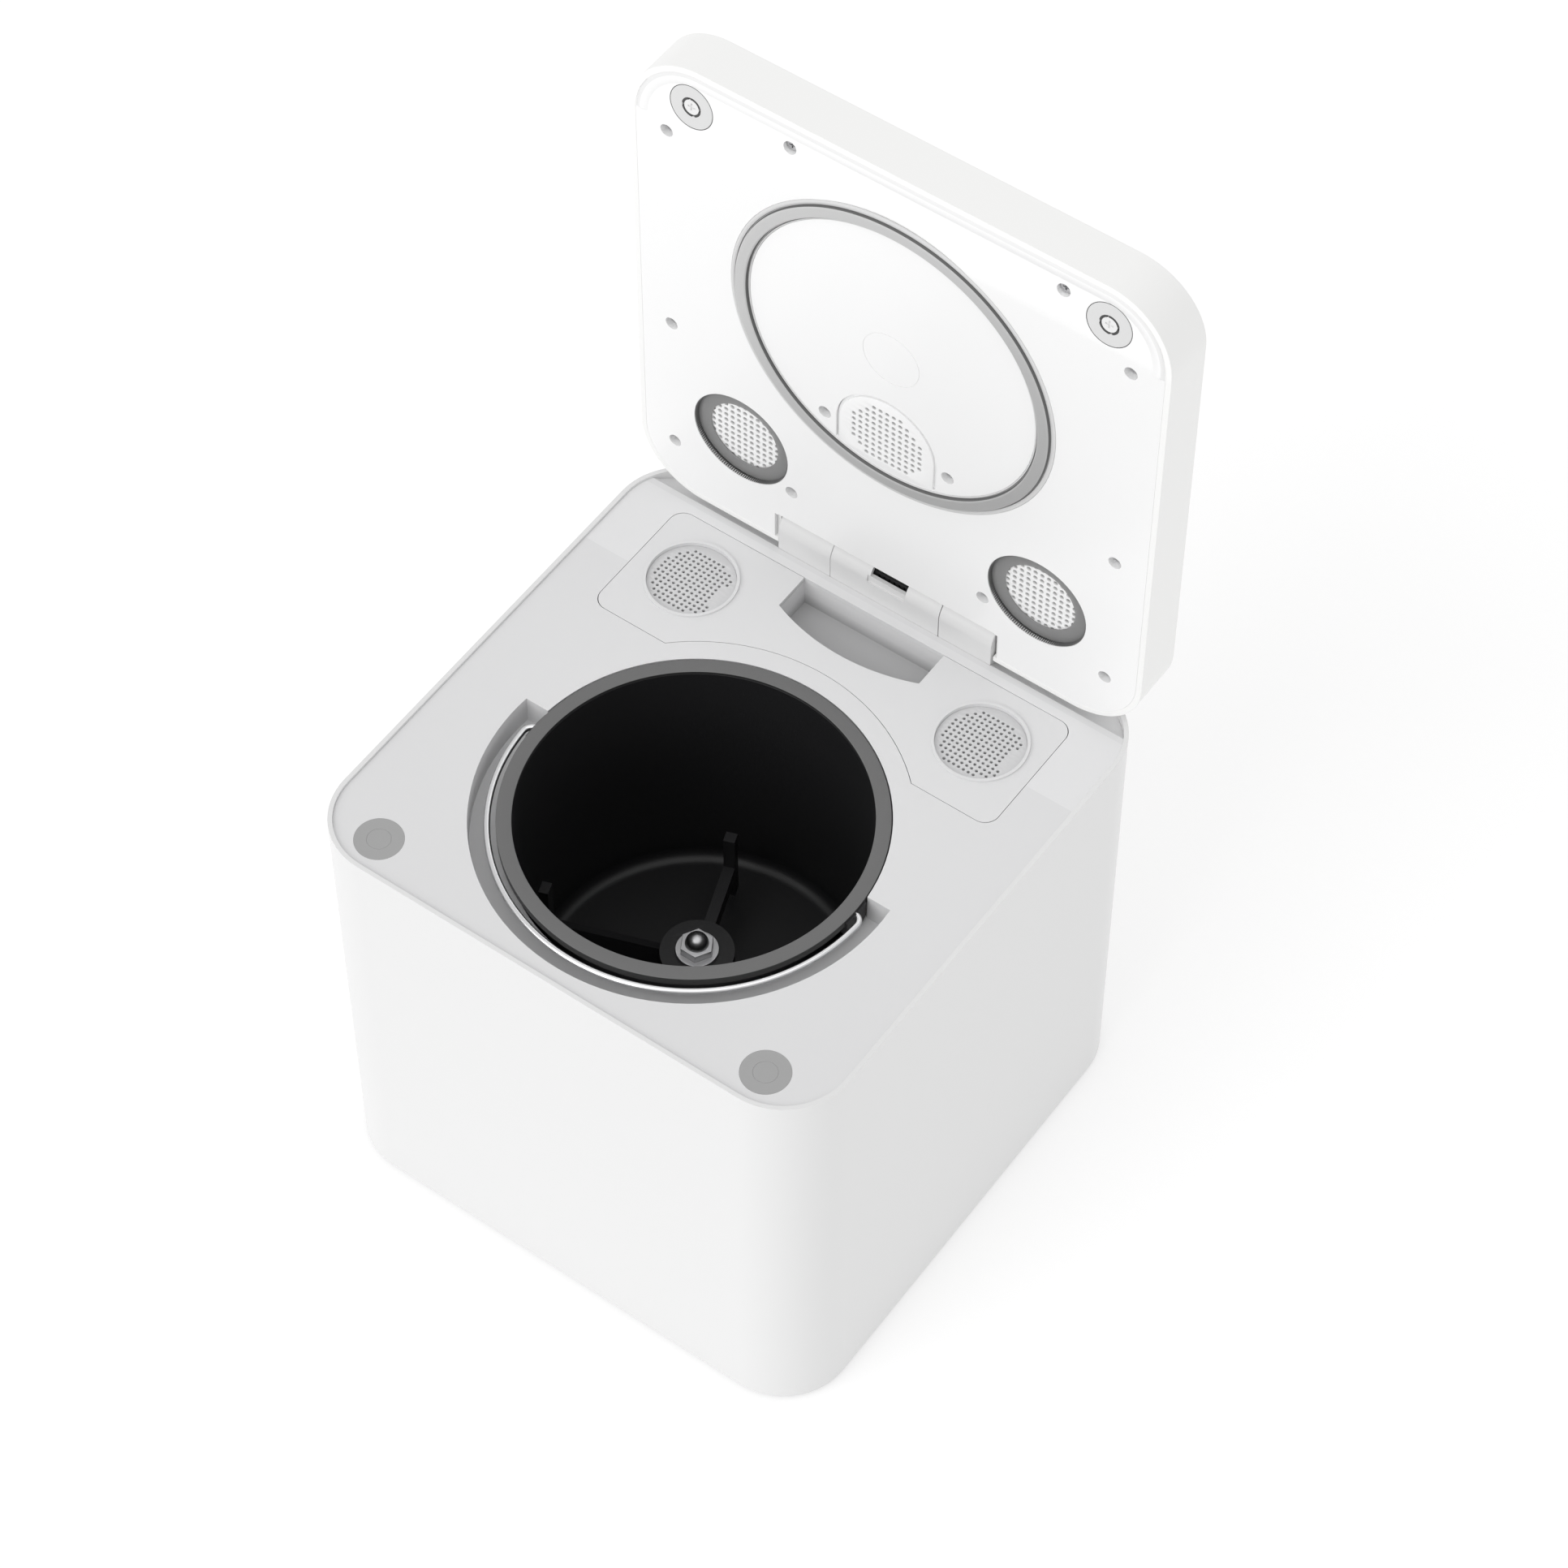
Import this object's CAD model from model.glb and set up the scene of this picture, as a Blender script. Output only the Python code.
import math
import bpy
import bmesh
from mathutils import Matrix, Vector


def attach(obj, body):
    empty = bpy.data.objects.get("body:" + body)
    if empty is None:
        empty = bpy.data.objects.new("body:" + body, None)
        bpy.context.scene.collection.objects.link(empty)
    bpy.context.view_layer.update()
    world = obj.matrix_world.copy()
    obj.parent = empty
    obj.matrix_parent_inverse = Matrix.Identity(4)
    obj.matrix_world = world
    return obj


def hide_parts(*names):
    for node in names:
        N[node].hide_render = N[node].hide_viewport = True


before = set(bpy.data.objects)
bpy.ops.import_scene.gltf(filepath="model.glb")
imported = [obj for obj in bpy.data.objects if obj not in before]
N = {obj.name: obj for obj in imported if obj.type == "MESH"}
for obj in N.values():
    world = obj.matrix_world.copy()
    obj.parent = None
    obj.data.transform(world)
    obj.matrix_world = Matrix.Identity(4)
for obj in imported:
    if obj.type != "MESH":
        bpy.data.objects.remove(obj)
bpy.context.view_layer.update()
sc = bpy.context.scene

# ---------------------------------------------------------------- the frame's numbers, in mm
S = -4.65                   # shift of the whole object along y
CY = -30.4                  # bucket axis
VX, VY = 87.7, 87.0         # vent axes
HY, HZ = 140.5, 281.6       # hinge axis
RIM, DECK, LID = 270.6, 269.0, 271.4
LID_T = 29.0
TOP = LID + LID_T
SY = CY + 0.7               # seal axis with the lid closed
PAN = LID + 0.1


def still(v):
    return Vector((v[0] / 1000, (v[1] + S) / 1000, v[2] / 1000))


def opened(v):
    return Vector((v[0] / 1000, (HY + v[2] - HZ + S) / 1000, (HZ - v[1] + HY) / 1000))


# ---------------------------------------------------------------- materials
MATS = {}


def material(name, color, rough=0.45, metal=0.0, grain=900.0, bump=0.04, mottle=0.03,
             rough_var=0.08, coat=0.0, coat_rough=0.1, spec=0.5, trans=0.0, ior=1.46, sss=0.0,
             brushed=None, cells=0.0, sheen=0.0, wear=0.0, wear_color=None, alpha=None, depths=(), slant=None):
    m = bpy.data.materials.new(name)
    m.use_nodes = True
    nt = m.node_tree
    nd, ln = nt.nodes, nt.links
    p = nd["Principled BSDF"]
    tc = nd.new("ShaderNodeTexCoord")
    mp = nd.new("ShaderNodeMapping")
    ln.new(tc.outputs["Object"], mp.inputs["Vector"])
    if brushed:
        mp.inputs["Scale"].default_value = brushed
    big = nd.new("ShaderNodeTexNoise")
    big.inputs["Scale"].default_value = 14
    big.inputs["Detail"].default_value = 4
    ln.new(tc.outputs["Object"], big.inputs["Vector"])
    fine = nd.new("ShaderNodeTexNoise")
    fine.inputs["Scale"].default_value = grain
    fine.inputs["Detail"].default_value = 3
    ln.new(mp.outputs["Vector"], fine.inputs["Vector"])
    # colour: a slow mottle, and a trace of the fine grain
    ramp = nd.new("ShaderNodeMix")
    ramp.data_type = "RGBA"
    lo = [max(0.0, c * (1 - mottle)) for c in color[:3]] + [1]
    hi = [min(1.0, c * (1 + mottle)) for c in color[:3]] + [1]
    ramp.inputs[6].default_value = lo
    ramp.inputs[7].default_value = hi
    both = nd.new("ShaderNodeMath")
    both.operation = "MULTIPLY_ADD"
    both.inputs[1].default_value = 0.35
    ln.new(fine.outputs["Fac"], both.inputs[0])
    half = nd.new("ShaderNodeMath")
    half.operation = "MULTIPLY"
    half.inputs[1].default_value = 0.65
    ln.new(big.outputs["Fac"], half.inputs[0])
    ln.new(half.outputs[0], both.inputs[2])
    ln.new(both.outputs[0], ramp.inputs[0])
    out = ramp.outputs[2]
    if wear:
        geo = nd.new("ShaderNodeNewGeometry")
        edge = nd.new("ShaderNodeMapRange")
        edge.inputs["From Min"].default_value = 0.53
        edge.inputs["From Max"].default_value = 0.62
        edge.inputs["To Max"].default_value = wear
        ln.new(geo.outputs["Pointiness"], edge.inputs["Value"])
        rub = nd.new("ShaderNodeMath")
        rub.operation = "MULTIPLY"
        ln.new(edge.outputs[0], rub.inputs[0])
        ln.new(big.outputs["Fac"], rub.inputs[1])
        worn = nd.new("ShaderNodeMix")
        worn.data_type = "RGBA"
        worn.inputs[7].default_value = list(wear_color or [min(1, c * 1.5 + 0.05) for c in color[:3]]) + [1]
        ln.new(rub.outputs[0], worn.inputs[0])
        ln.new(out, worn.inputs[6])
        out = worn.outputs[2]
    for y0, y1, z0, f0, z1, f1 in depths:
        # shade inside recesses: a factor that runs from f0 at height z0 to f1 at z1, for y0 < y < y1
        pos = nd.new("ShaderNodeNewGeometry")
        xyz = nd.new("ShaderNodeSeparateXYZ")
        ln.new(pos.outputs["Position"], xyz.inputs[0])
        zr = nd.new("ShaderNodeMapRange")
        zr.inputs["From Min"].default_value = z0 / 1000
        zr.inputs["From Max"].default_value = z1 / 1000
        zr.inputs["To Min"].default_value = f0
        zr.inputs["To Max"].default_value = f1
        ln.new(xyz.outputs["Z"], zr.inputs["Value"])
        a = nd.new("ShaderNodeMath")
        a.operation = "GREATER_THAN"
        a.inputs[1].default_value = (y0 + S) / 1000
        ln.new(xyz.outputs["Y"], a.inputs[0])
        c = nd.new("ShaderNodeMath")
        c.operation = "LESS_THAN"
        c.inputs[1].default_value = (y1 + S) / 1000
        ln.new(xyz.outputs["Y"], c.inputs[0])
        d = nd.new("ShaderNodeMath")
        d.operation = "MULTIPLY"
        ln.new(a.outputs[0], d.inputs[0])
        ln.new(c.outputs[0], d.inputs[1])
        mul = nd.new("ShaderNodeMix")
        mul.data_type = "RGBA"
        mul.blend_type = "MULTIPLY"
        ln.new(d.outputs[0], mul.inputs[0])
        ln.new(out, mul.inputs[6])
        ln.new(zr.outputs[0], mul.inputs[7])
        out = mul.outputs[2]
    if slant:
        # slow change of tone along one direction of the object
        vec, t0, g0, t1, g1 = slant
        dot = nd.new("ShaderNodeVectorMath")
        dot.operation = "DOT_PRODUCT"
        dot.inputs[1].default_value = vec
        ln.new(tc.outputs["Object"], dot.inputs[0])
        gr = nd.new("ShaderNodeMapRange")
        gr.inputs["From Min"].default_value = t0
        gr.inputs["From Max"].default_value = t1
        gr.inputs["To Min"].default_value = g0
        gr.inputs["To Max"].default_value = g1
        ln.new(dot.outputs["Value"], gr.inputs["Value"])
        mul = nd.new("ShaderNodeMix")
        mul.data_type = "RGBA"
        mul.blend_type = "MULTIPLY"
        mul.inputs[0].default_value = 1.0
        ln.new(out, mul.inputs[6])
        ln.new(gr.outputs[0], mul.inputs[7])
        out = mul.outputs[2]
    ln.new(out, p.inputs["Base Color"])
    rr = nd.new("ShaderNodeMapRange")
    rr.inputs["To Min"].default_value = max(0.02, rough - rough_var)
    rr.inputs["To Max"].default_value = min(1.0, rough + rough_var)
    ln.new(both.outputs[0], rr.inputs["Value"])
    ln.new(rr.outputs[0], p.inputs["Roughness"])
    h = fine.outputs["Fac"]
    if cells:
        vo = nd.new("ShaderNodeTexVoronoi")
        vo.inputs["Scale"].default_value = cells
        ln.new(tc.outputs["Object"], vo.inputs["Vector"])
        add = nd.new("ShaderNodeMath")
        add.operation = "ADD"
        ln.new(vo.outputs["Distance"], add.inputs[0])
        ln.new(fine.outputs["Fac"], add.inputs[1])
        h = add.outputs[0]
    b = nd.new("ShaderNodeBump")
    b.inputs["Strength"].default_value = bump
    b.inputs["Distance"].default_value = 0.0002
    ln.new(h, b.inputs["Height"])
    ln.new(b.outputs["Normal"], p.inputs["Normal"])
    p.inputs["Metallic"].default_value = metal
    p.inputs["IOR"].default_value = ior
    p.inputs["Specular IOR Level"].default_value = spec
    p.inputs["Coat Weight"].default_value = coat
    p.inputs["Coat Roughness"].default_value = coat_rough
    p.inputs["Transmission Weight"].default_value = trans
    p.inputs["Subsurface Weight"].default_value = sss
    if sss:
        p.inputs["Subsurface Radius"].default_value = (0.002, 0.002, 0.002)
        p.inputs["Subsurface Scale"].default_value = 1.0
    p.inputs["Sheen Weight"].default_value = sheen
    if alpha is not None:
        p.inputs["Alpha"].default_value = alpha
    MATS[name] = m
    return m


def srgb(h):
    h = h.lstrip("#")
    return [((int(h[i:i + 2], 16) / 255) / 12.92 if int(h[i:i + 2], 16) <= 10
             else ((int(h[i:i + 2], 16) / 255 + 0.055) / 1.055) ** 2.4) for i in (0, 2, 4)]


material("shell_white", (0.757, 0.757, 0.757), rough=0.30, grain=1400, bump=0.015, mottle=0.006, rough_var=0.04, coat=0.25, coat_rough=0.12)
material("lid_white", (0.92, 0.92, 0.912), rough=0.38, grain=1400, bump=0.02, mottle=0.006, rough_var=0.05)
material("panel_white", (0.925, 0.925, 0.925), rough=0.32, grain=1500, bump=0.012, mottle=0.005, rough_var=0.05, coat=0.2, coat_rough=0.15)
material("boss_white", (0.73, 0.73, 0.73), rough=0.32, grain=1500, bump=0.012, mottle=0.005, rough_var=0.05)
material("deck_grey", (0.73, 0.73, 0.735), rough=0.42, grain=1700, bump=0.03, mottle=0.010, rough_var=0.05)
material("deck_deep", (0.72, 0.72, 0.725), rough=0.42, grain=1700, bump=0.03, mottle=0.010, rough_var=0.05,
         depths=((78, 126, 249.5, 0.70, 257, 1.06), (-150, 60, DECK - 16, 1.02, DECK - 4, 1.0)))
material("cover_grey", (0.73, 0.73, 0.735), rough=0.42, grain=1700, bump=0.03, mottle=0.010, rough_var=0.05,
         depths=((60, 120, DECK - 4, 0.66, DECK - 0.5, 1.0),))
material("pad_grey", (0.365, 0.365, 0.365), rough=0.5, grain=1900, bump=0.03, mottle=0.015)
material("ring_grey", (0.142, 0.142, 0.142), rough=0.55, grain=2400, bump=0.05, mottle=0.03, wear=0.25, wear_color=(0.3, 0.3, 0.3))
material("coating_black", (0.014, 0.014, 0.015), rough=0.42, grain=1800, bump=0.10, mottle=0.15, cells=1600, wear=0.2, wear_color=(0.08, 0.08, 0.085))
material("moulded_black", (0.018, 0.018, 0.019), rough=0.5, grain=1600, bump=0.08, mottle=0.1)
material("rubber_black", (0.02, 0.02, 0.02), rough=0.8, grain=1200, bump=0.15, mottle=0.12, cells=900)
material("seal_grey", (0.54, 0.54, 0.54), rough=0.36, grain=1500, bump=0.02, mottle=0.02, sss=0.1,
         slant=((0.707, 0.0, -0.707), -0.37, 1.0, -0.19, 0.66))
material("seal_pale", (0.66, 0.66, 0.66), rough=0.36, grain=1500, bump=0.02, mottle=0.02, sss=0.15)
material("seal_dark", (0.13, 0.13, 0.13), rough=0.5, grain=1500, bump=0.03, mottle=0.05)
material("panel_shade", (0.80, 0.80, 0.80), rough=0.35, grain=1500, bump=0.012, mottle=0.005)
material("foam_dark", (0.085, 0.085, 0.085), rough=0.9, grain=600, bump=0.5, mottle=0.12, cells=900)
material("ring_side", (0.028, 0.028, 0.028), rough=0.5, grain=2400, bump=0.05, mottle=0.03)
material("screw_white", (0.80, 0.80, 0.80), rough=0.35, grain=1500, bump=0.02, mottle=0.02)
material("wire_chrome", (0.88, 0.88, 0.89), rough=0.25, metal=1.0, grain=1200, bump=0.01, mottle=0.02, rough_var=0.04)
material("brushed_steel", (0.55, 0.55, 0.56), rough=0.33, metal=1.0, grain=500, bump=0.05, mottle=0.05, brushed=(1, 1, 14), wear=0.2)
material("cast_alloy", (0.50, 0.50, 0.51), rough=0.5, metal=1.0, grain=1100, bump=0.2, mottle=0.08, cells=1200)
material("brass", (0.70, 0.50, 0.22), rough=0.28, metal=1.0, grain=700, bump=0.04, mottle=0.06, brushed=(1, 1, 20))
material("gear_cream", (0.72, 0.68, 0.56), rough=0.45, grain=1300, bump=0.03, mottle=0.03, sss=0.08)
material("felt", (0.62, 0.58, 0.50), rough=0.95, grain=420, bump=0.9, mottle=0.14, cells=520, sheen=0.4)
material("board_green", (0.02, 0.13, 0.055), rough=0.35, grain=1000, bump=0.05, mottle=0.12, coat=0.4)
material("filter_white", (0.72, 0.72, 0.68), rough=0.5, grain=1300, bump=0.05, mottle=0.03)
material("light_ring", (0.72, 0.82, 0.78), rough=0.25, grain=1500, bump=0.01, mottle=0.02, sss=0.3)
material("magnet_grey", (0.69, 0.69, 0.69), rough=0.4, grain=1500, bump=0.03, mottle=0.02)
material("vent_grey", (0.64, 0.64, 0.645), rough=0.42, grain=1700, bump=0.03, mottle=0.010)
material("rib_grey", (0.17, 0.17, 0.17), rough=0.4, grain=1500, bump=0.03, mottle=0.05)
material("ring_clear_grey", (0.31, 0.31, 0.31), rough=0.3, grain=1500, bump=0.02, mottle=0.03, alpha=0.6)
material("dark_line", (0.06, 0.06, 0.06), rough=0.6, grain=1500, bump=0.03, mottle=0.1)

NODE_MAT = {
    "outer_casing": "shell_white", "base_pan": "moulded_black", "rubber_feet": "rubber_black",
    "top_deck": "deck_deep", "deck_strike_pads": "pad_grey", "hinge_boss": "boss_white",
    "hinge_center_cover": "boss_white", "hinge_cable_socket": "moulded_black", "well_liner": "brushed_steel",
    "well_insulation": "felt", "heater_plate": "cast_alloy", "temperature_sensor": "moulded_black",
    "gearbox_housing": "cast_alloy", "gearbox_cover": "cast_alloy", "drive_motor": "brushed_steel",
    "output_bush": "brass", "idler_axle": "brushed_steel", "filter_bay": "deck_grey",
    "exhaust_duct": "pad_grey", "fan_housing": "moulded_black", "rear_grille": "shell_white",
    "power_inlet": "moulded_black", "control_board": "board_green", "power_board": "board_green",
    "base_screws": "brushed_steel", "gearbox_screws": "brushed_steel", "output_gear": "gear_cream",
    "output_shaft": "brushed_steel", "idler_gear": "gear_cream", "motor_pinion": "brass",
    "fan_rotor": "moulded_black", "filter_cover": "cover_grey", "vent_grille_left": "deck_grey",
    "vent_grille_right": "deck_grey", "carbon_filter_left": "filter_white", "carbon_filter_right": "filter_white",
    "bucket_shell": "coating_black", "bucket_rim": "ring_grey", "bail_ears": "moulded_black",
    "bucket_hub": "cast_alloy", "agitator_shaft": "brushed_steel", "agitator_blades": "coating_black",
    "bail_handle": "wire_chrome", "lid_shell": "lid_white", "lid_inner_panel": "panel_white",
    "lid_seal": "seal_grey", "lid_vent_seals": "seal_grey", "lid_vent_grilles": "panel_white",
    "lid_intake_grille": "panel_white", "lid_magnets": "magnet_grey", "magnet_screws": "screw_white",
    "lid_screws": "brushed_steel", "lid_hinge_pins": "brushed_steel", "lid_air_duct": "pad_grey",
    "lid_control_board": "board_green", "button_light_ring": "light_ring", "start_button": "lid_white",
}
BEVEL = {"outer_casing": 0.8, "top_deck": 0.35, "filter_cover": 0.3, "lid_shell": 1.4, "lid_inner_panel": 0.3,
         "bucket_rim": 0.4, "rubber_feet": 0.6, "deck_strike_pads": 0.25, "output_gear": 0.15, "idler_gear": 0.15,
         "motor_pinion": 0.12, "hinge_boss": 0.4, "hinge_center_cover": 0.4, "rear_grille": 0.5, "fan_rotor": 0.3}


def dress(name, width=None, seg=3):
    o = N[name]
    o.data.materials.clear()
    o.data.materials.append(MATS[NODE_MAT[name]])
    for p in o.data.polygons:
        p.material_index = 0
        p.use_smooth = True
    w = o.modifiers.new("weld", "WELD")
    w.merge_threshold = 0.00002
    d = o.modifiers.new("flat", "DECIMATE")
    d.decimate_type = "DISSOLVE"
    d.angle_limit = math.radians(0.6)
    b = o.modifiers.new("round", "BEVEL")
    b.width = (width or BEVEL.get(name, 0.3)) / 1000
    b.segments = seg
    b.limit_method = "ANGLE"
    b.angle_limit = math.radians(32)
    b.harden_normals = False
    b.use_clamp_overlap = True
    n = o.modifiers.new("normals", "WEIGHTED_NORMAL")
    n.keep_sharp = True
    n.weight = 80


for n in N:
    dress(n)


# ---------------------------------------------------------------- mesh tools
def finish_mesh(name, me, where, mat, body, nodes=(), sharp=38):
    me.transform(Matrix.Identity(4))
    for v in me.vertices:
        v.co = where(v.co)
    bm = bmesh.new()
    bm.from_mesh(me)
    bmesh.ops.remove_doubles(bm, verts=bm.verts, dist=1e-6)
    bmesh.ops.recalc_face_normals(bm, faces=bm.faces)
    bm.to_mesh(me)
    bm.free()
    for p in me.polygons:
        p.use_smooth = True
    me.set_sharp_from_angle(angle=math.radians(sharp))
    o = bpy.data.objects.new(name, me)
    sc.collection.objects.link(o)
    me.materials.clear()
    me.materials.append(MATS[mat] if isinstance(mat, str) else mat)
    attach(o, body)
    if nodes:
        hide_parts(*nodes)
    return o


def circle(x, y, r, n=64, a0=0.0):
    return [(x + r * math.cos(a0 + 2 * math.pi * i / n), y + r * math.sin(a0 + 2 * math.pi * i / n)) for i in range(n)]


def flat_mesh(name, loops, z0, z1, bev, res=2):
    """A plate with holes and rounded edges: loops are closed outlines in mm."""
    cu = bpy.data.curves.new(name + "_c", "CURVE")
    cu.dimensions = "2D"
    cu.fill_mode = "BOTH"
    for lp in loops:
        s = cu.splines.new("POLY")
        s.points.add(len(lp) - 1)
        for i, (x, y) in enumerate(lp):
            s.points[i].co = (x, y, 0, 1)
        s.use_cyclic_u = True
    cu.extrude = max(0.0, (z1 - z0) / 2 - bev)
    cu.bevel_depth = bev
    cu.bevel_resolution = res
    cu.offset = -bev
    ob = bpy.data.objects.new(name + "_c", cu)
    sc.collection.objects.link(ob)
    bpy.context.view_layer.update()
    me = bpy.data.meshes.new_from_object(ob.evaluated_get(bpy.context.evaluated_depsgraph_get()))
    bpy.data.objects.remove(ob)
    bpy.data.curves.remove(cu)
    me.name = name
    for v in me.vertices:
        v.co.z += (z0 + z1) / 2
    return me


def lathe_mesh(name, prof, cx, cy, n=160, closed=True):
    """A closed profile [(r, z)] turned about the vertical axis through (cx, cy)."""
    verts, faces = [], []
    k = len(prof)
    for i in range(n):
        a = 2 * math.pi * i / n
        for r, z in prof:
            verts.append((cx + r * math.cos(a), cy + r * math.sin(a), z))
    for i in range(n):
        j = (i + 1) % n
        for q in range(k if closed else k - 1):
            t = (q + 1) % k
            faces.append((i * k + q, j * k + q, j * k + t, i * k + t))
    me = bpy.data.meshes.new(name)
    me.from_pydata(verts, [], faces)
    return me


def rounded(prof, rads, n=4):
    """Rounds the corners of a closed profile; rads gives each corner's radius."""
    out = []
    k = len(prof)
    for i in range(k):
        p = Vector(prof[i]); a = Vector(prof[i - 1]); b = Vector(prof[(i + 1) % k])
        r = rads[i] if isinstance(rads, (list, tuple)) else rads
        u, w = (a - p), (b - p)
        lu, lw = u.length, w.length
        if r <= 0 or lu < 1e-9 or lw < 1e-9:
            out.append(tuple(p)); continue
        u.normalize(); w.normalize()
        ang = u.angle(w)
        if ang > math.pi - 0.02:
            out.append(tuple(p)); continue
        t = min(r / math.tan(ang / 2), 0.48 * lu, 0.48 * lw)
        rr = t * math.tan(ang / 2)
        c = p + (u + w).normalized() * (rr / math.sin(ang / 2))
        s, e = p + u * t - c, p + w * t - c
        a0 = math.atan2(s.y, s.x); a1 = math.atan2(e.y, e.x)
        da = (a1 - a0 + math.pi) % (2 * math.pi) - math.pi
        for q in range(n + 1):
            aa = a0 + da * q / n
            out.append((c.x + rr * math.cos(aa), c.y + rr * math.sin(aa)))
    return out


def tube_mesh(name, pts, r, n=20):
    cu = bpy.data.curves.new(name + "_c", "CURVE")
    cu.dimensions = "3D"
    s = cu.splines.new("POLY")
    s.points.add(len(pts) - 1)
    for i, p in enumerate(pts):
        s.points[i].co = (*p, 1)
    cu.bevel_depth = r
    cu.bevel_resolution = n // 4
    cu.use_fill_caps = True
    ob = bpy.data.objects.new(name + "_c", cu)
    sc.collection.objects.link(ob)
    bpy.context.view_layer.update()
    me = bpy.data.meshes.new_from_object(ob.evaluated_get(bpy.context.evaluated_depsgraph_get()))
    bpy.data.objects.remove(ob)
    bpy.data.curves.remove(cu)
    me.name = name
    return me


# ---------------------------------------------------------------- deck vents
def deck_vent(side, name, node):
    holes = []
    spans = [(3, 9), (2, 11), (1, 12), (1, 12), (0, 11), (0, 11), (0, 11), (0, 11), (0, 11), (1, 12), (1, 12), (2, 11), (3, 9)]
    cx = side * VX
    for j, (a, b) in enumerate(spans):
        for i in range(a, b + 1):
            x = -105.9 + 2.87 * i if side < 0 else 69.5 + 2.87 * i
            y = 103.8 - 2.87 * j
            if math.hypot(x - cx, y - VY) < 21.3:
                holes.append(circle(x, y, 0.82, 14))
    me = flat_mesh(name, [circle(cx, VY, 22.8, 120)] + holes, DECK - 3.4, DECK - 1.1, 0.12, 1)
    rim = lathe_mesh(name + "_rim", rounded([(22.0, DECK - 4.3), (24.4, DECK - 4.3), (24.4, DECK - 2.4), (22.0, DECK - 2.4)], 0.55), cx, VY, 120)
    foam = flat_mesh(name + "_foam", [circle(cx, VY, 21.7, 80)], DECK - 4.6, DECK - 3.7, 0.1, 1)
    finish_mesh(name + "_foam", foam, still, "foam_dark", "filter_unit", ())
    bm = bmesh.new()
    bm.from_mesh(me)
    bm.from_mesh(rim)
    bm.to_mesh(me)
    bm.free()
    return finish_mesh(name, me, still, "vent_grey", "filter_unit", [node])


deck_vent(-1, "vent_plate_left", "vent_grille_left")
deck_vent(1, "vent_plate_right", "vent_grille_right")

# ---------------------------------------------------------------- bucket's rim and the bail
rim_prof = rounded([(88.0, DECK - 1.8), (88.0, DECK), (95.7, DECK), (95.7, DECK - 4.9), (94.2, DECK - 4.9), (94.0, DECK - 1.8)],
                   [0.3, 0.35, 0.45, 0.5, 0.4, 0.4], 4)
ring = finish_mesh("bucket_ring", lathe_mesh("bucket_ring", rim_prof, 0, CY, 220), still, "ring_grey", "bucket", ["bucket_rim"])
ring.data.materials.append(MATS["ring_side"])
for p in ring.data.polygons:
    if abs(p.normal.z) < 0.35:
        p.material_index = 1

R_B, R_W = 100.1, 1.7
bend = 5.2
ca = math.asin(bend / (R_B - bend))
bx = (R_B - bend) * math.cos(ca)
path = [(-90.8, 0)]
for i in range(13):
    t = math.pi / 2 + (math.pi / 2 + ca) * i / 12
    path.append((-bx + bend * math.cos(t), -bend + bend * math.sin(t)))
for i in range(1, 120):
    t = math.pi + ca + (math.pi - 2 * ca) * i / 120
    path.append((R_B * math.cos(t), R_B * math.sin(t)))
for i in range(13):
    t = -ca + (math.pi / 2 + ca) * i / 12
    path.append((bx + bend * math.cos(t), -bend + bend * math.sin(t)))
path.append((90.8, 0))
me = tube_mesh("bail_wire", [(x, CY + y, 265.4) for x, y in path], R_W, 24)
finish_mesh("bail_wire", me, still, "wire_chrome", "bail", ["bail_handle"], 60)

# ---------------------------------------------------------------- lid vents
for side, tag in ((-1, "left"), (1, "right")):
    cx = side * 88.0
    vy = 87.05
    holes = []
    for i in range(-8, 9):
        for j in range(-8, 9):
            x, y = cx + 3.86 * i, vy + 3.92 * j
            if math.hypot(x - cx, y - vy) < 26.6:
                holes.append(circle(x, y, 1.25, 16))
    me = flat_mesh("lid_vent_plate_" + tag, [circle(cx, vy, 29.4, 120)] + holes, LID + 3.85, LID + 5.4, 0.15, 1)
    finish_mesh("lid_vent_plate_" + tag, me, opened, "panel_white", "lid", ["lid_vent_grilles"])
    prof = rounded([(20.2, LID + 3.7), (20.2, LID + 3.0), (28.3, LID + 3.0), (28.3, LID + 3.7)], 0.25, 3)
    finish_mesh("lid_vent_ring_" + tag, lathe_mesh("lid_vent_ring_" + tag, prof, cx, vy, 160), opened, "ring_clear_grey", "lid", ["lid_vent_seals"])
    # fine ribs on the wall of the recess
    verts, faces = [], []
    n = 150
    for i in range(n):
        a = 2 * math.pi * i / n
        for da, r in ((-0.012, 28.35), (0.0, 27.7), (0.012, 28.35)):
            for z in (LID + 0.4, LID + 3.0):
                verts.append((cx + r * math.cos(a + da), vy + r * math.sin(a + da), z))
        b = i * 6
        faces += [(b, b + 2, b + 3, b + 1), (b + 2, b + 4, b + 5, b + 3), (b + 4, b, b + 1, b + 5), (b, b + 4, b + 2), (b + 1, b + 3, b + 5)]
    me = bpy.data.meshes.new("lid_vent_ribs_" + tag)
    me.from_pydata(verts, [], faces)
    finish_mesh("lid_vent_ribs_" + tag, me, opened, "rib_grey", "lid", ())

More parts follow.
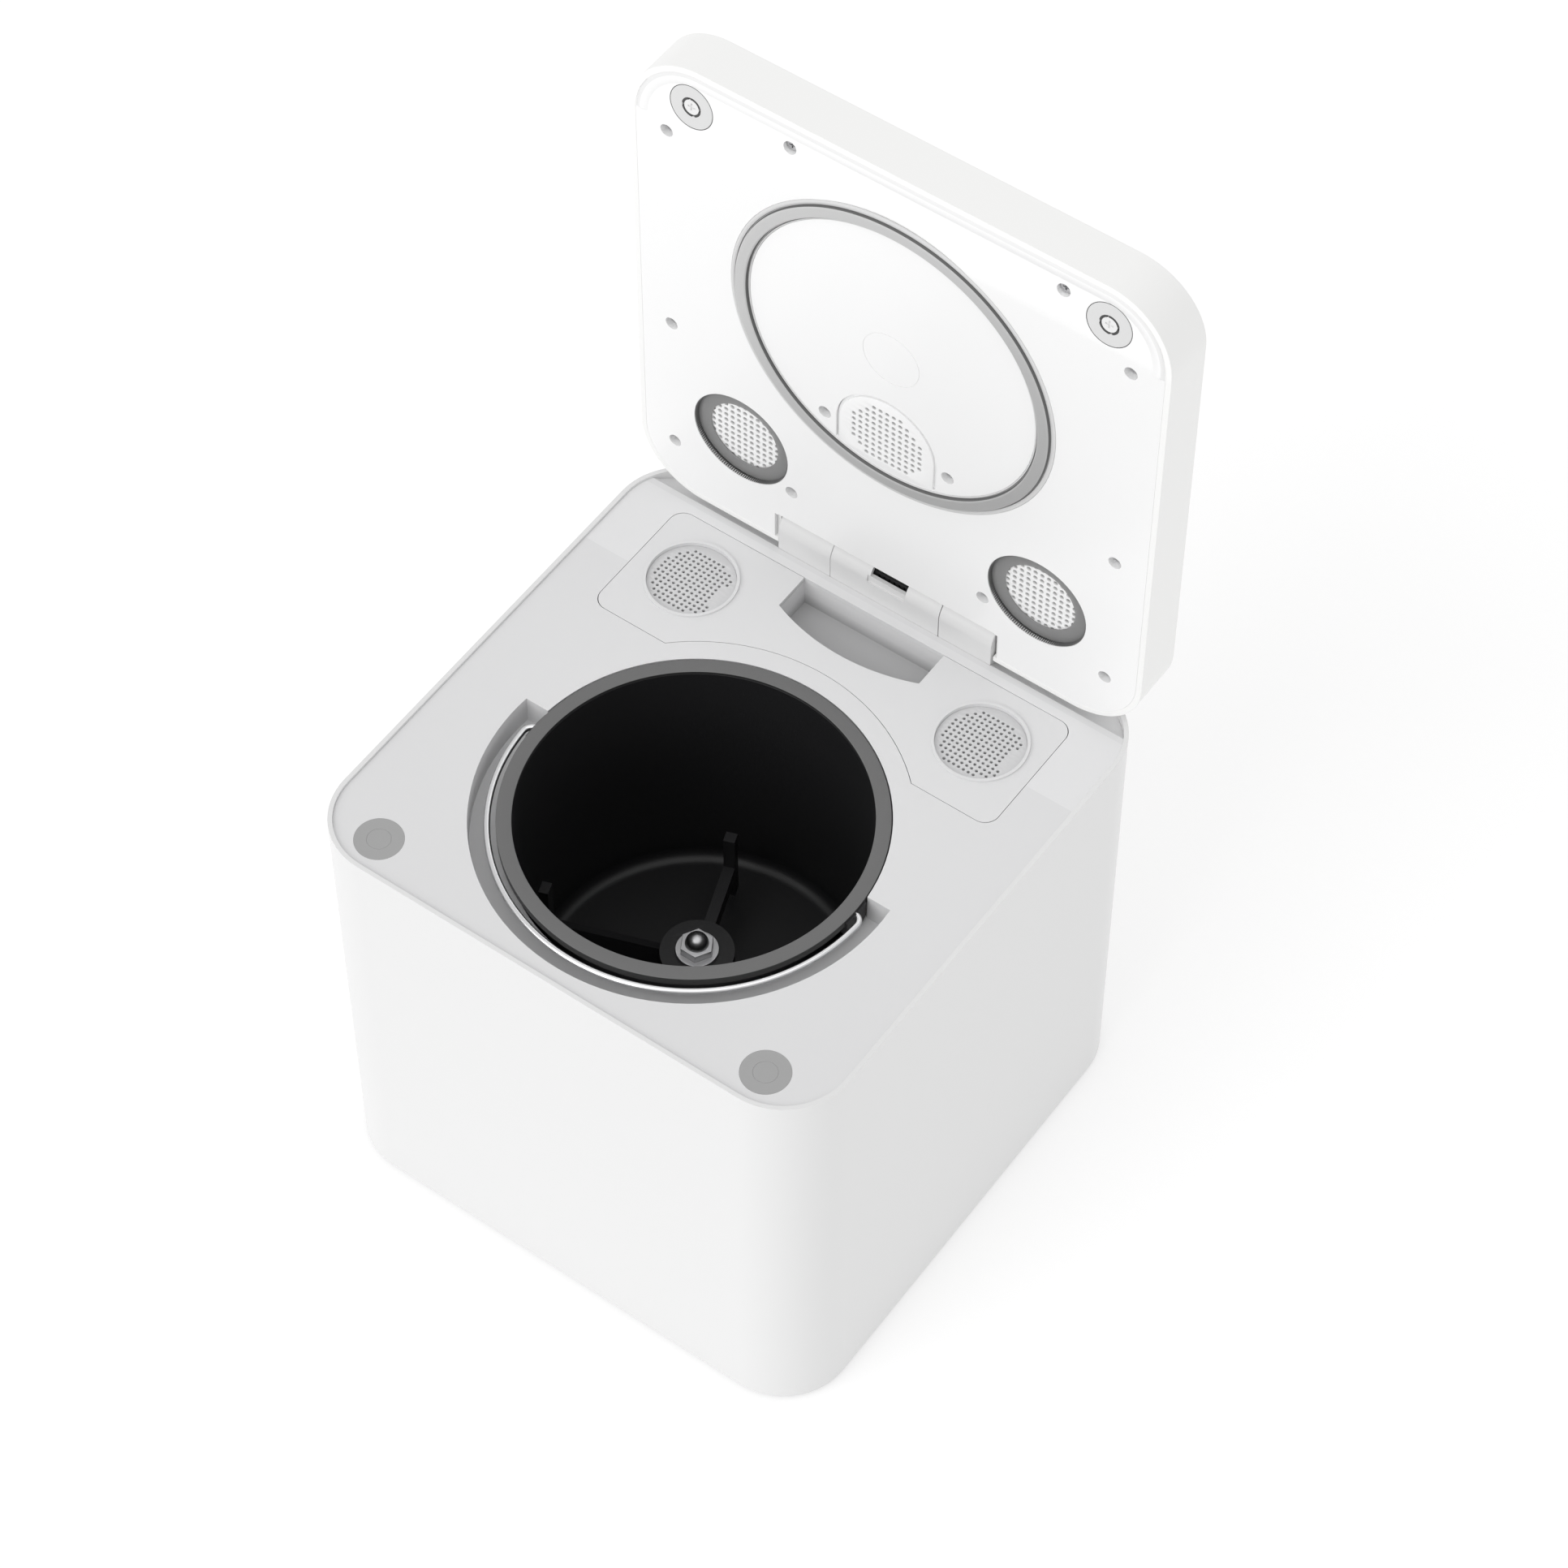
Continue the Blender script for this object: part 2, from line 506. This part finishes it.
# ---------------------------------------------------------------- arched intake
def arch(r, n=60, rc=81.0):
    """Outline of the arch: a half circle, two straight legs, closed by the seal's inner circle."""
    cx, cy = -1.65, 30.7
    pts = [(cx + r * math.cos(t), cy - r * math.sin(t)) for t in [math.pi * i / n for i in range(n + 1)]]
    y_l = SY + math.sqrt(rc * rc - (cx - r) ** 2)
    y_r = SY + math.sqrt(rc * rc - (cx + r) ** 2)
    a0 = math.atan2(y_l - SY, cx - r)
    a1 = math.atan2(y_r - SY, cx + r)
    low = [(rc * math.cos(a0 + (a1 - a0) * i / 24), SY + rc * math.sin(a0 + (a1 - a0) * i / 24)) for i in range(25)]
    return pts + low


rows = [(3, 7), (2, 8), (1, 9), (0, 9), (0, 9), (0, 9), (0, 9), (0, 9), (1, 9), (2, 8), (3, 7)]
holes = [circle(-20.7 + 3.84 * i, 10.6 + 3.83 * j, 1.2, 14) for i, (a, b) in enumerate(rows) for j in range(a, b + 1)]
me = flat_mesh("intake_plate", [arch(27.4)] + holes, PAN + 0.1, PAN + 1.5, 0.2, 2)
base = flat_mesh("intake_base", [arch(29.1, rc=80.9)] + [circle(-20.7 + 3.84 * i, 10.6 + 3.83 * j, 1.3, 14) for i, (a, b) in enumerate(rows) for j in range(a, b + 1)],
                 PAN + 1.45, PAN + 2.2, 0.1, 1)
bm = bmesh.new()
bm.from_mesh(me)
bm.from_mesh(base)
bm.to_mesh(me)
bm.free()
finish_mesh("intake_plate", me, opened, "panel_white", "lid", ["lid_intake_grille"])

# ---------------------------------------------------------------- seal ring
prof = [(82.4, PAN + 1.1), (82.4, PAN + 0.3), (82.9, PAN + 0.3),
        (83.3, LID - 1.4), (83.9, LID - 1.8), (88.9, LID - 1.75), (89.5, LID - 1.4), (89.9, PAN + 0.1), (90.2, PAN + 0.1),
        (90.2, PAN + 1.1)]
prof = rounded(prof, 0.3, 3)
seal = finish_mesh("seal_ring", lathe_mesh("seal_ring", prof, 0, SY, 240), opened, "seal_grey", "lid", ["lid_seal"], 50)
seal.data.materials.append(MATS["seal_dark"])
for p in seal.data.polygons:
    if abs(p.normal.y) < 0.5:                     # the walls of the raised band
        p.material_index = 1
prof = rounded([(81.5, PAN + 1.0), (81.5, PAN - 0.05), (81.8, PAN - 0.35), (82.3, PAN - 0.3), (82.35, PAN + 1.0)], 0.2, 3)
finish_mesh("seal_inner_bead", lathe_mesh("seal_inner_bead", prof, 0, SY, 240), opened, "seal_pale", "lid", (), 50)
prof = rounded([(90.25, PAN + 1.0), (90.4, PAN - 0.35), (91.5, PAN - 0.5), (92.5, PAN - 0.3), (92.7, PAN + 0.1), (92.7, PAN + 1.0)], 0.3, 3)
finish_mesh("seal_outer_bead", lathe_mesh("seal_outer_bead", prof, 0, SY, 240), opened, "seal_pale", "lid", (), 50)

# ---------------------------------------------------------------- the sloped front strip of the lid's panel
FY, FK = -112.4, 3.2 / 37.6
FA = math.atan(FK)


def strip(x0, y0):
    """Maps a point of a frame that lies on the strip at (x0, y0) into the opened lid."""
    zc = PAN + (FY - y0) * FK
    return lambda v: opened((x0 + v[0], y0 + v[1] * math.cos(FA) + v[2] * math.sin(FA), zc - v[1] * math.sin(FA) + v[2] * math.cos(FA)))


W2, YF, RC = 150.0, -150.0, 38.0


def border(i, n=24):
    """The strip's outline i mm inside the lid's edge, from the fold on the right to the fold on the left."""
    pts = [(W2 - i, FY)]
    for q in range(n + 1):
        t = -math.pi / 2 * q / n
        pts.append((W2 - RC + (RC - i) * math.cos(t), YF + RC + (RC - i) * math.sin(t)))
    for q in range(n + 1):
        t = -math.pi / 2 - math.pi / 2 * q / n
        pts.append((-W2 + RC + (RC - i) * math.cos(t), YF + RC + (RC - i) * math.sin(t)))
    pts.append((-W2 + i, FY))
    return pts


def ribbon(name, prof, mat):
    """An open band along the strip's outline; prof is a list of (inset, height above the strip)."""
    rows_ = [border(i) for i, h in prof]
    verts, faces = [], []
    for (i, h), row in zip(prof, rows_):
        verts += [(x, y, PAN + (FY - y) * FK - h) for x, y in row]
    m = len(rows_[0])
    for r in range(len(prof) - 1):
        for q in range(m - 1):
            faces.append((r * m + q, r * m + q + 1, (r + 1) * m + q + 1, (r + 1) * m + q))
    me = bpy.data.meshes.new(name)
    me.from_pydata(verts, [], faces)
    o = finish_mesh(name, me, opened, mat, "lid", (), 60)
    bm = bmesh.new()
    bm.from_mesh(o.data)
    if sum(f.normal.y * f.calc_area() for f in bm.faces) > 0:
        bmesh.ops.reverse_faces(bm, faces=bm.faces)
    bm.to_mesh(o.data)
    bm.free()
    return o


ribbon("strip_chamfer", [(3.6, 0.0), (3.62, 0.05), (5.7, 0.42)], "panel_shade")
ribbon("strip_rise", [(5.7, 0.42), (6.2, 0.42), (10.0, 0.03), (10.1, -0.05)], "panel_white")

for tag, x0 in (("left", -115.2), ("right", 115.2)):
    y0 = -127.6
    finish_mesh("magnet_outline_" + tag, lathe_mesh("magnet_outline_" + tag, [(12.0, 0.3), (12.0, -0.06), (12.32, -0.06), (12.32, 0.3)], 0, 0, 96), strip(x0, y0), "dark_line", "lid", ())
    gap = []
    for a0, a1 in ((0.12, 1.15), (1.45, 2.9), (3.2, 4.3), (4.55, 6.05)):
        k = 14
        arc = [(5.5 * math.cos(a0 + (a1 - a0) * q / k), 5.5 * math.sin(a0 + (a1 - a0) * q / k)) for q in range(k + 1)]
        arc += [(4.15 * math.cos(a1 - (a1 - a0) * q / k), 4.15 * math.sin(a1 - (a1 - a0) * q / k)) for q in range(k + 1)]
        gap.append(flat_mesh("gap", [arc], -0.08, 1.5, 0.05, 1))
    bm = bmesh.new()
    for g in gap:
        bm.from_mesh(g)
    me = bpy.data.meshes.new("magnet_gap_" + tag)
    bm.to_mesh(me)
    bm.free()
    finish_mesh("magnet_gap_" + tag, me, strip(x0, y0), "dark_line", "lid", ())

# ---------------------------------------------------------------- stage, light, camera
floor = bpy.data.meshes.new("floor")
floor.from_pydata([(-12, -12, 0), (12, -12, 0), (12, 12, 0), (-12, 12, 0)], [], [(0, 1, 2, 3)])
fo = bpy.data.objects.new("floor", floor)
fo.location.z = -0.0002
sc.collection.objects.link(fo)
fm = bpy.data.materials.new("floor_pale")
fm.use_nodes = True
fp = fm.node_tree.nodes["Principled BSDF"]
fp.inputs["Base Color"].default_value = (0.52, 0.52, 0.52, 1)
fp.inputs["Roughness"].default_value = 0.9
fp.inputs["Specular IOR Level"].default_value = 0.1
fp.inputs["Emission Color"].default_value = (1, 1, 1, 1)
fp.inputs["Emission Strength"].default_value = 0.54
floor.materials.append(fm)

w = bpy.data.worlds.new("studio")
sc.world = w
w.use_nodes = True
w.node_tree.nodes["Background"].inputs["Color"].default_value = (1, 1, 1, 1)
w.node_tree.nodes["Background"].inputs["Strength"].default_value = 0.66


def sun(name, direction, k, angle):
    l = bpy.data.lights.new(name, "SUN")
    l.energy = math.pi * k
    l.angle = math.radians(angle)
    o = bpy.data.objects.new(name, l)
    o.rotation_euler = Vector(direction).to_track_quat("Z", "Y").to_euler()
    sc.collection.objects.link(o)


sun("key", (-0.25, -0.80, 0.55), 0.33, 50)
sun("top", (0.1, -0.15, 1.0), 0.14, 60)

cam = bpy.data.cameras.new("camera")
cam.sensor_width = 36
cam.lens = 110.34
cam.clip_end = 60
co = bpy.data.objects.new("camera", cam)
co.matrix_world = Matrix(((0.81233, -0.46836, 0.34750, 0.8348768),
                          (0.58320, 0.65238, -0.48403, -1.1231555),
                          (0.0, 0.59585, 0.80309, 2.1420962),
                          (0, 0, 0, 1)))
sc.collection.objects.link(co)
sc.camera = co

sc.view_settings.view_transform = "Standard"
sc.view_settings.look = "None"
sc.view_settings.exposure = 0
sc.view_settings.gamma = 1
